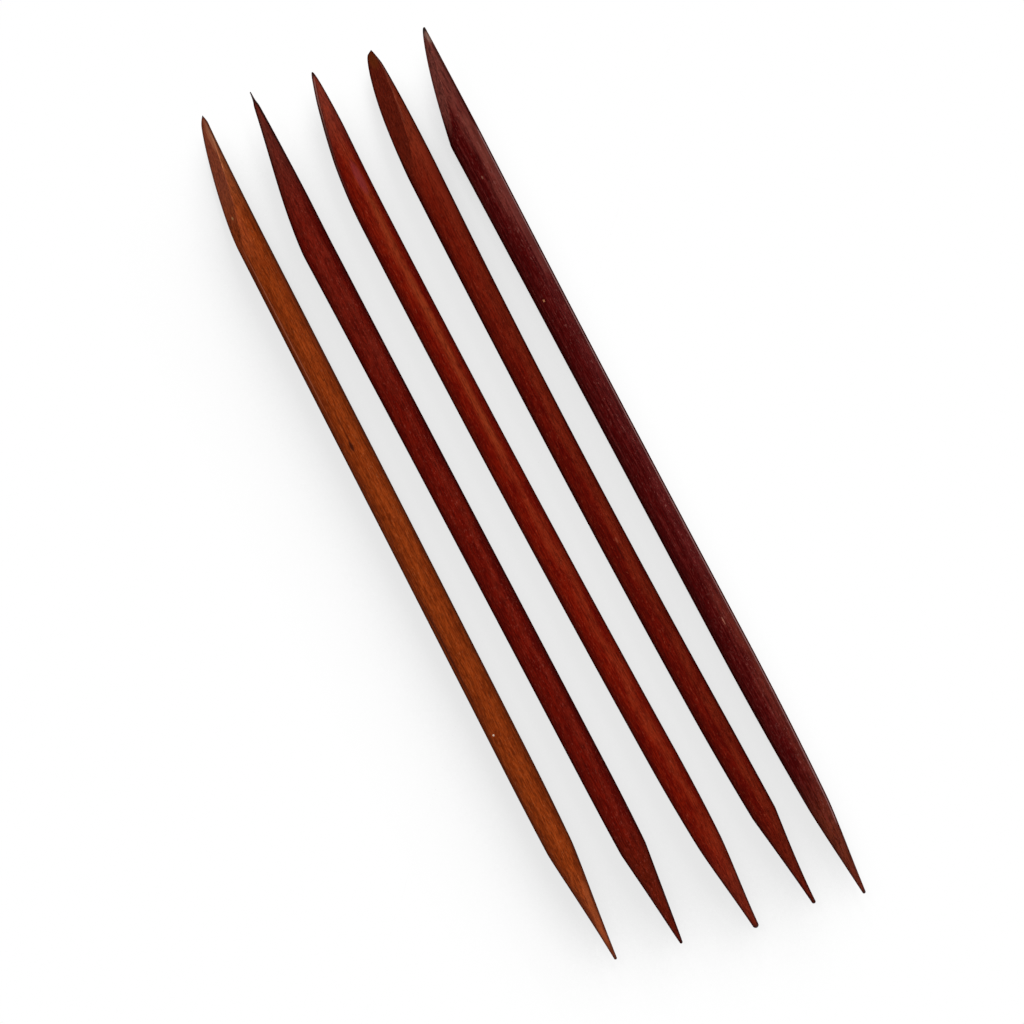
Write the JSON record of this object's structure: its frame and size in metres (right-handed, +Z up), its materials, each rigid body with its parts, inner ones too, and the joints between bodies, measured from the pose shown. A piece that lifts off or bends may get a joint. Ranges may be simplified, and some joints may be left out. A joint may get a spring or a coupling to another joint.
{
  "type": "double pointed needles",
  "caption": "Set of short double pointed knitting needles in oiled rosewood, each pointed at both ends: one bevelled point and one conical point.",
  "frame": {"origin": "centre of the bottom of the set's box, on the plane that the needles lie on", "axes": "+Y along the needles towards their bevelled upper points, +X across the row from needle_1 to needle_5, +Z up"},
  "size_m": [0.0578, 0.2074, 0.007],
  "materials": {
    "needle_1_wood": "satin oil",
    "needle_2_wood": "satin oil",
    "needle_3_wood": "satin oil",
    "needle_4_wood": "satin oil",
    "needle_5_wood": "satin oil"
  },
  "bodies": {
    "needle_1": {"needle_1": "needle_1_wood"},
    "needle_2": {"needle_2": "needle_2_wood"},
    "needle_3": {"needle_3": "needle_3_wood"},
    "needle_4": {"needle_4": "needle_4_wood"},
    "needle_5": {"needle_5": "needle_5_wood"}
  },
  "joints": [
    {"name": "needle_1_slide", "type": "slide", "parent": "needle_3", "child": "needle_1", "axis": [0.0079, 1, 0], "range_m": [-0.2, 0.2]},
    {"name": "needle_2_slide", "type": "slide", "parent": "needle_3", "child": "needle_2", "axis": [-0.0053, 1, 0], "range_m": [-0.2, 0.2]},
    {"name": "needle_4_slide", "type": "slide", "parent": "needle_3", "child": "needle_4", "axis": [-0.0075, 1, 0], "range_m": [-0.2, 0.2]},
    {"name": "needle_5_slide", "type": "slide", "parent": "needle_3", "child": "needle_5", "axis": [-0.008, 1, 0], "range_m": [-0.2, 0.2]}
  ]
}
